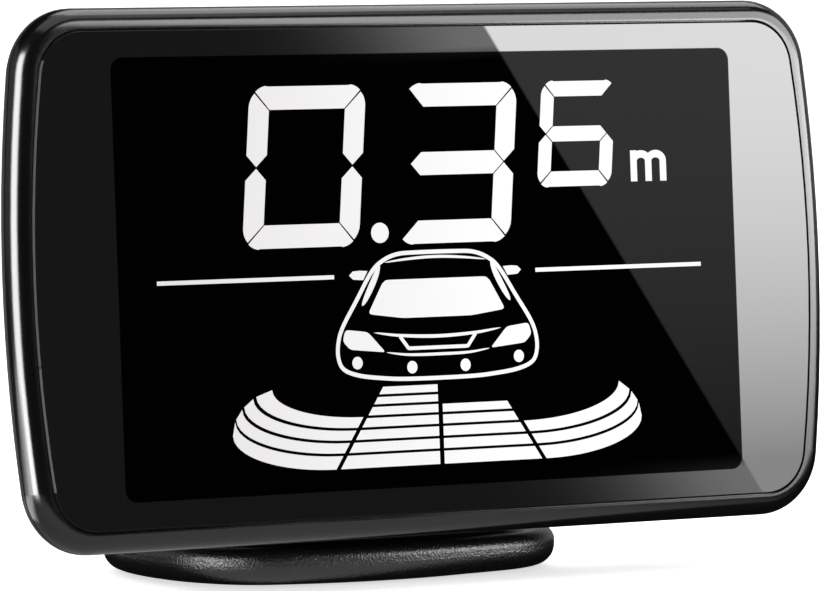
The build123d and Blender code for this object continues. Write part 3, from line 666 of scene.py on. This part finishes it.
# ---- Operators ----
class DISTANCE_DISPLAY_OT_stage(bpy.types.Operator):
    """Make the camera, the floor, the background and the lights"""

    bl_idname = "distance_display.stage"
    bl_label = "Stage"

    def execute(self, context):
        settings = context.scene.distance_stage
        place_camera(context.scene, settings)
        place_world(context.scene)
        place_floor(settings)
        place_cards(settings)
        place_lights()
        return {"FINISHED"}


class DISTANCE_DISPLAY_OT_shells(bpy.types.Operator):
    """Give the lens, the shells, the base and the hinge their finishes"""

    bl_idname = "distance_display.shells"
    bl_label = "Lens and shells"

    def execute(self, context):
        look = context.scene.distance_finishes
        paint(lens_finish("lens_print", look.lens_colour, look.border_gloss, look.window_gloss), "lens_panel")
        bezel = moulded("bezel_satin", look.bezel_colour, roughness=look.bezel_roughness, grain=0.00025,
                        depth=2.5e-6, ior=1.6)
        paint(bezel, "front_bezel")
        housing = moulded("housing_texture", look.housing_colour, roughness=0.42, grain=0.0006, depth=4e-5,
                          specular_ior_level=0.35)
        paint(housing, "rear_housing")
        base = base_finish("base_sparkle", look.base_colour, look.base_roughness, look.base_grain, depth=5e-5)
        paint(base, "base_shell")
        paint(moulded("knob_plastic", grey(0.02), roughness=0.4, grain=0.0003, depth=1e-5), "switch_knob")
        paint(moulded("socket_nylon", grey(0.62, 0.02), roughness=0.45, grain=0.0004, depth=6e-6),
              "cable_socket")
        paint(metal("hinge_steel", grey(0.3), roughness=0.3, grain=0.0002, stretch=(0.1, 1.0, 1.0)),
              "hinge_screw", "hinge_nut")
        paint(metal("black_screw", grey(0.09), roughness=0.35, grain=0.00015),
              "housing_screws", "base_screws")
        paint(metal("weight_steel", grey(0.42), roughness=0.42, grain=0.0003, stretch=(1.0, 0.1, 1.0)),
              "base_weight")
        paint(moulded("plate_plastic", grey(0.014), roughness=0.5, grain=0.0005, depth=1.5e-5), "base_plate")
        paint(moulded("washer_nylon", grey(0.5), roughness=0.5, grain=0.0003, depth=4e-6), "friction_washers")
        paint(speckled("pad_foam", grey(0.02), grey(0.06), pitch=0.0004, roughness=0.85, depth=6e-5),
              "adhesive_pad")
        paint(moulded("tape_black", grey(0.01), roughness=0.75, grain=0.0002, depth=4e-6), "lens_tape")
        return {"FINISHED"}


class DISTANCE_DISPLAY_OT_inside(bpy.types.Operator):
    """Give the cell, the backlight, the board and its parts their finishes"""

    bl_idname = "distance_display.inside"
    bl_label = "Inside parts"

    def execute(self, context):
        paint(moulded("cell_glass", (0.30, 0.34, 0.33, 1.0), roughness=0.05, grain=0.002, depth=1e-6),
              "front_glass", "rear_glass")
        paint(moulded("polariser_film", grey(0.05), roughness=0.2, grain=0.001, depth=1e-6),
              "front_polariser", "rear_polariser")
        paint(moulded("light_film", grey(0.85), roughness=0.35, grain=0.0006, depth=2e-6),
              "diffuser_sheet", "reflector_sheet")
        paint(speckled("guide_dots", grey(0.6), grey(0.8), pitch=0.0012, roughness=0.1, depth=1e-5),
              "light_guide")
        paint(moulded("tray_white", grey(0.72), roughness=0.4, grain=0.0005, depth=6e-6), "backlight_tray")
        paint(circuit("board_green", (0.01, 0.09, 0.035, 1.0), (0.03, 0.2, 0.07, 1.0), pitch=0.004),
              "main_board")
        paint(circuit("strip_white", grey(0.7), grey(0.5), pitch=0.003), "led_board")
        amber = ((0.75, 0.6, 0.12, 1.0), (0.85, 0.7, 0.2, 1.0))
        paint(speckled("led_gel", *amber, pitch=0.0004, roughness=0.3, depth=5e-6), "backlight_leds")
        paint(speckled("chip_epoxy", grey(0.012), grey(0.03), pitch=0.0001, roughness=0.6, depth=5e-6),
              "microcontroller", "display_driver", "voltage_regulator")
        paint(metal("can_aluminium", grey(0.6), roughness=0.3, grain=0.0002, stretch=(1.0, 0.1, 1.0)),
              "capacitors", "crystal")
        paint(moulded("buzzer_black", grey(0.015), roughness=0.45, grain=0.0003, depth=1e-5), "buzzer_case")
        paint(metal("disc_brass", (0.62, 0.42, 0.14, 1.0), roughness=0.35, grain=0.0003), "buzzer_disc")
        paint(woven("gauze_weave", grey(0.03), pitch=0.0005, depth=5e-5), "sound_gauze")
        paint(metal("pin_tin", grey(0.66), roughness=0.25, grain=0.0001, stretch=(1.0, 0.1, 1.0)),
              "socket_pins")
        paint(moulded("switch_black", grey(0.02), roughness=0.5, grain=0.0003, depth=5e-6), "switch_body")
        paint(moulded("contact_rubber", (0.18, 0.16, 0.15, 1.0), roughness=0.7, grain=0.0002, depth=5e-6),
              "contact_strip")
        return {"FINISHED"}


class DISTANCE_DISPLAY_OT_digits(bpy.types.Operator):
    """Make the lit digits, the decimal point and the unit mark"""

    bl_idname = "distance_display.digits"
    bl_label = "Digits"

    def execute(self, context):
        look = context.scene.distance_display
        lit = lit_finish("lit_shapes_painted_sheen", look.lit_near, look.lit_far_painted_sheen)
        large = (look.digit_half_w, look.digit_half_h, look.bar_width, look.digit_corner)
        small = (size * look.small_scale for size in large)
        shared = (look.mitre_gap, look.slant)
        lit_plates("digit_zero", digit_segments(ZERO, ZERO_AT, *large, *shared), lit)
        lit_plates("digit_three", digit_segments(THREE, THREE_AT, *large, *shared), lit)
        lit_plates("digit_six", digit_segments(SIX, SIX_AT, *small, *shared), lit)
        lit_plates("decimal_point", [disc(*POINT_AT, POINT_R, POINT_R)], lit)
        lit_plates("unit_mark", unit_strips(), lit)
        return {"FINISHED"}


class DISTANCE_DISPLAY_OT_picture(bpy.types.Operator):
    """Make the lit horizon, the car front and the distance bars"""

    bl_idname = "distance_display.picture"
    bl_label = "Car and bars"

    def execute(self, context):
        look = context.scene.distance_display
        lit = bpy.data.materials["lit_shapes_painted_sheen"]
        horizon = resampled([(HORIZON_START, HORIZON_LEVEL), (HORIZON_END, HORIZON_LEVEL)], 8)
        strip = stroke(horizon, look.line_w)
        lit_plates("horizon", [strip, mirrored(strip)], lit)
        lit_plates("car_front", car_strips(look.line_w), lit)
        lit_plates("distance_bars", bar_strips(look.zone_gap), lit)
        return {"FINISHED"}


class DISTANCE_DISPLAY_PT_panel(bpy.types.Panel):
    """Lists the building steps and their settings"""

    bl_label = "Distance display"
    bl_idname = "DISTANCE_DISPLAY_PT_panel"
    bl_space_type = "VIEW_3D"
    bl_region_type = "UI"
    bl_category = "Distance display"

    def draw(self, context):
        for operator in OPERATORS:
            self.layout.operator(operator.bl_idname)
        scene = context.scene
        for group in (scene.distance_display, scene.distance_finishes, scene.distance_stage):
            box = self.layout.box()
            for name in group.bl_rna.properties.keys():
                if name not in ("rna_type", "name"):
                    box.prop(group, name)


def paint(material, *nodes):
    """Gives carried-over CAD nodes their finish."""
    for node in nodes:
        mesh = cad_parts[node].data
        mesh.materials.clear()
        mesh.materials.append(material)


# ---- Stage ----
SQUARE = np.array([[0.0, 0.0], [0.0, 1.0], [1.0, 0.0], [1.0, 1.0]])
SQUARE_FACE = np.array([[0, 1, 3, 2]])


def flat_sheet(corner, side_a, side_b):
    """Corners of a flat sheet: corner + a part of one side + a part of the other, each part 0 or 1."""
    return corner + SQUARE[:, :1] * side_a + SQUARE[:, 1:] * side_b


def stage_piece(name, points, faces, material, flat=None):
    """A stage mesh, with flat coordinates as its UV map if given."""
    mesh = bpy.data.meshes.new(name)
    mesh.from_pydata(points.tolist(), [], faces.tolist())
    if flat is not None:
        corner = np.zeros(len(mesh.loops), np.int32)
        mesh.loops.foreach_get("vertex_index", corner)
        mesh.uv_layers.new(name="flat").data.foreach_set("uv", flat[corner].astype(np.float32).ravel())
    mesh.materials.append(material)
    piece = bpy.data.objects.new(name, mesh)
    bpy.context.scene.collection.objects.link(piece)
    return piece


def place_camera(scene, settings):
    """Camera at its offset from the window's middle, level, looking at the aim point."""
    camera = bpy.data.cameras.new("camera")
    camera.lens, camera.sensor_width = settings.focal_length, 36.0
    camera.clip_start, camera.clip_end = 0.01, 50.0
    holder = bpy.data.objects.new("camera", camera)
    holder.location = WINDOW_MIDDLE + np.array(settings.camera_offset)
    aim = np.array(settings.aim_offset) - np.array(settings.camera_offset)
    holder.rotation_mode = "QUATERNION"
    holder.rotation_quaternion = Vector(aim).to_track_quat("-Z", "Y")
    scene.collection.objects.link(holder)
    scene.camera = holder


def place_world(scene):
    """A white background that the camera sees and that lights softly, but that gloss doesn't mirror."""
    world = bpy.data.worlds.new("white_room")
    world.use_nodes = True
    background = world.node_tree.nodes["Background"]
    background.inputs["Color"].default_value = grey(1.0)
    background.inputs["Strength"].default_value = 1.0
    world.cycles_visibility.glossy = False
    scene.world = world
    scene.view_settings.view_transform = "Standard"


FLOOR_REACH = 4.0


def place_floor(settings):
    """A pale floor that gives off some light itself, wide enough to reach the background. Gloss doesn't
    mirror it; the cards do that."""
    finish = Finish("floor_paper")
    fibre = finish.noise(0.004, 3.0)
    tone = finish.mix(fibre, toned(settings.floor_colour, 0.985), settings.floor_colour)
    material = finish.surface(base_color=tone, roughness=0.9, specular_ior_level=0.1, emission_color=tone,
                              emission_strength=settings.floor_glow)
    corner = np.array([-FLOOR_REACH, -FLOOR_REACH, 0])
    points = flat_sheet(corner, np.array([0, 2 * FLOOR_REACH, 0]), np.array([2 * FLOOR_REACH, 0, 0]))
    stage_piece("floor", points, SQUARE_FACE, material).visible_glossy = False


def glow_only(piece):
    """Makes a card show in gloss and nowhere else."""
    piece.visible_camera = False
    piece.visible_diffuse = False
    piece.visible_shadow = False


def glow_finish(finish, tone, glow):
    """Ends a card's material: black, and giving off light of that tone and strength."""
    return finish.surface(base_color=grey(0.0), specular_ior_level=0.0, emission_color=tone,
                          emission_strength=glow)


# The right softbox, in metres: how far beyond the window's middle, its size, and its lower left corner.
SOFTBOX_DISTANCE = 0.6
SOFTBOX_W, SOFTBOX_H, SOFTBOX_LEFT, SOFTBOX_LOW = 0.85, 0.50, -0.32, -0.075
# Where its slanted edge shows on the lens, in panel millimetres.
EDGE_HIGH, EDGE_LOW = np.array([[9.74, 25.0]]), np.array([[41.77, -23.98]])
EDGE_SOFT, SPILL_SOFT, SPILL_REACH = 0.0006, 0.003, 0.023
LOW_DIMMING, LOW_CURVE = 0.67, 1.8              # how much the softbox dims down the lens, and how late
HIGH_DIMMING, HIGH_START, HIGH_FADE = 0.55, 0.01, 0.05      # and above the lens
SPILL = 0.2


def place_right_softbox(settings):
    """The softbox whose slanted edge shows in the lens. It faces the camera's mirror image in the lens's
    front plane, so a point of the edge lies where the ray from that image through its place on the lens
    meets the card. A little light spills past the edge above and below the lens, as a bell curve of the
    distance."""
    eye = WINDOW_MIDDLE + np.array(settings.camera_offset)
    behind = eye + 2 * BACKWARD * ((WINDOW_MIDDLE - eye) @ BACKWARD)
    outward = (WINDOW_MIDDLE - behind) / np.linalg.norm(WINDOW_MIDDLE - behind)
    middle = WINDOW_MIDDLE + outward * SOFTBOX_DISTANCE
    across = np.cross([0.0, 0.0, 1.0], outward)
    across /= np.linalg.norm(across)
    up = np.cross(outward, across)

    def on_card(point):
        ray = on_panel(point, 0.0)[0] - behind
        hit = behind + ray * (((middle - behind) @ outward) / (ray @ outward)) - middle
        return hit @ across, hit @ up

    (u0, v0), (u1, v1) = on_card(EDGE_HIGH), on_card(EDGE_LOW)
    points = flat_sheet(middle + across * SOFTBOX_LEFT + up * SOFTBOX_LOW, up * SOFTBOX_H, across * SOFTBOX_W)
    flat = np.array([SOFTBOX_LEFT, SOFTBOX_LOW]) + SQUARE[:, ::-1] * [SOFTBOX_W, SOFTBOX_H]
    finish = Finish("right_softbox")
    place = finish.node("ShaderNodeUVMap", {"uv_map": "flat"})
    u, v = finish.axis(place, "X"), finish.axis(place, "Y")
    past = u - (v - v0) * ((u1 - u0) / (v1 - v0)) - u0
    inside = (past / EDGE_SOFT + 0.5).clamped()
    beyond = (((v - (v0 + v1) / 2).math("ABSOLUTE") - (v0 - v1) / 2) / SPILL_SOFT + 0.5).clamped()
    low = ((v0 - v) / (v0 - v1)).clamped().math("POWER", LOW_CURVE)
    high = ((v - v0 - HIGH_START) / HIGH_FADE).clamped()
    lit = (1.0 - low * LOW_DIMMING) * (1.0 - high * HIGH_DIMMING)
    spill = (past * past * (-1 / SPILL_REACH**2)).math("EXPONENT") * beyond * SPILL
    tone = finish.mix(inside * lit + (1.0 - inside) * spill, grey(0.0), grey(1.0))
    material = glow_finish(finish, tone, settings.softbox_glow)
    glow_only(stage_piece("softbox_right", points, SQUARE_FACE, material, flat))


# Name, azimuth in degrees from the front towards the right, and the setting of its brightness. Then, at its
# first and at its second edge: how far out it is, its width and its height, in metres.
CARDS = (
    ("softbox_left", -68, "strip_glow", (0.55, 0.55), (0.42, 0.42), (0.0, 0.42)),
    ("softbox_left_foot", -68, "foot_glow", (0.12, 0.55), (0.10, 0.42), (-0.001, -0.001)),
    ("card_low", -85, "low_glow", (0.065, 0.35), (0.04, 0.2), (-0.001, -0.001)),
    ("card_below", -20, "below_glow", (0.02, 0.16), (0.20, 0.35), (-0.002, -0.002)),
    ("card_below_rear", 180, "rear_floor_glow", (0.07, 1.5), (0.5, 3.0), (-0.002, -0.002)),
)


def place_cards(settings):
    """Everything that gloss mirrors: the right softbox, the cards of the list above and the surround."""
    place_right_softbox(settings)
    for name, azimuth, glow, reach, width, height in CARDS:
        place_card(name, azimuth, getattr(settings, glow), reach, width, height)
    place_surround(settings.rear_glow)


SURROUND_R, SURROUND_H = 1.6, 1.2
SURROUND_START, SURROUND_END = radians(75), radians(285)


def place_surround(glow):
    """A dim curved wall round the sides and the back: radius times sine and cosine of the azimuth, by
    height."""
    azimuth = np.linspace(SURROUND_START, SURROUND_END, 36)
    a, z = np.meshgrid(azimuth, np.array([0.0, SURROUND_H]), indexing="ij")
    points = np.stack([SURROUND_R * np.sin(a), -SURROUND_R * np.cos(a), z], axis=-1).reshape(-1, 3)
    finish = Finish("surround")
    cloud = finish.noise(0.5, 1.0)
    tone = finish.mix(cloud, grey(0.85), grey(1.0))
    material = glow_finish(finish, tone, glow)
    glow_only(stage_piece("surround", points, grid_quads(len(azimuth), 2), material))


def place_card(name, azimuth, glow, reach, width, height):
    """A card that stands up, lies down or spreads: a point is out times its reach, plus sideways times its
    width and its place across, plus up times its height, each growing evenly from the first edge to the
    second."""
    angle = radians(azimuth)
    out = np.array([sin(angle), -cos(angle), 0.0])
    side = np.array([cos(angle), sin(angle), 0.0])
    along, beside = SQUARE[:, :1], SQUARE[:, 1:] - 0.5
    points = out * (reach[0] + along * (reach[1] - reach[0]))
    points += side * beside * (width[0] + along * (width[1] - width[0]))
    points += np.array([0.0, 0.0, 1.0]) * (height[0] + along * (height[1] - height[0]))
    finish = Finish(name)
    across = finish.axis(finish.node("ShaderNodeUVMap", {"uv_map": "flat"}), "Y")
    soft_sides = (across * (1.0 - across) * 5.0).clamped()
    tone = finish.mix(soft_sides, grey(0.0), grey(1.0))
    glow_only(stage_piece(name, points, SQUARE_FACE, glow_finish(finish, tone, glow), SQUARE))


# Name, place and size in metres, and power in watts.
LAMPS = (
    ("overhead", (0.4, 0.2, 0.8), 0.6, 3.0),
    ("ceiling", (0.2, -0.4, 1.6), 1.4, 6.0),
)


def place_lights():
    """Two soft square lamps above that face the object: one to the right and behind, one larger in front."""
    for name, place, size, power in LAMPS:
        lamp = bpy.data.lights.new(name, "AREA")
        lamp.shape, lamp.size, lamp.energy = "SQUARE", size, power
        holder = bpy.data.objects.new(name, lamp)
        holder.location = place
        holder.rotation_mode = "QUATERNION"
        holder.rotation_quaternion = Vector(-np.array(place)).to_track_quat("-Z", "Y")
        holder.visible_camera = False
        bpy.context.scene.collection.objects.link(holder)


# ---- Registration ----
OPERATORS = (DISTANCE_DISPLAY_OT_stage, DISTANCE_DISPLAY_OT_shells, DISTANCE_DISPLAY_OT_inside,
             DISTANCE_DISPLAY_OT_digits, DISTANCE_DISPLAY_OT_picture)
CLASSES = (DisplaySettings, FinishSettings, StageSettings, *OPERATORS, DISTANCE_DISPLAY_PT_panel)


def register():
    """Registers the classes and puts the settings on the scene."""
    for cls in CLASSES:
        bpy.utils.register_class(cls)
    bpy.types.Scene.distance_display = bpy.props.PointerProperty(type=DisplaySettings)
    bpy.types.Scene.distance_finishes = bpy.props.PointerProperty(type=FinishSettings)
    bpy.types.Scene.distance_stage = bpy.props.PointerProperty(type=StageSettings)


def unregister():
    """Takes the settings and the classes away again."""
    del bpy.types.Scene.distance_display, bpy.types.Scene.distance_finishes, bpy.types.Scene.distance_stage
    for cls in reversed(CLASSES):
        bpy.utils.unregister_class(cls)


def main():
    """Builds the whole scene through its operators."""
    register()
    bpy.ops.distance_display.stage()
    bpy.ops.distance_display.shells()
    bpy.ops.distance_display.inside()
    bpy.ops.distance_display.digits()
    bpy.ops.distance_display.picture()


if __name__ == "__main__":
    main()
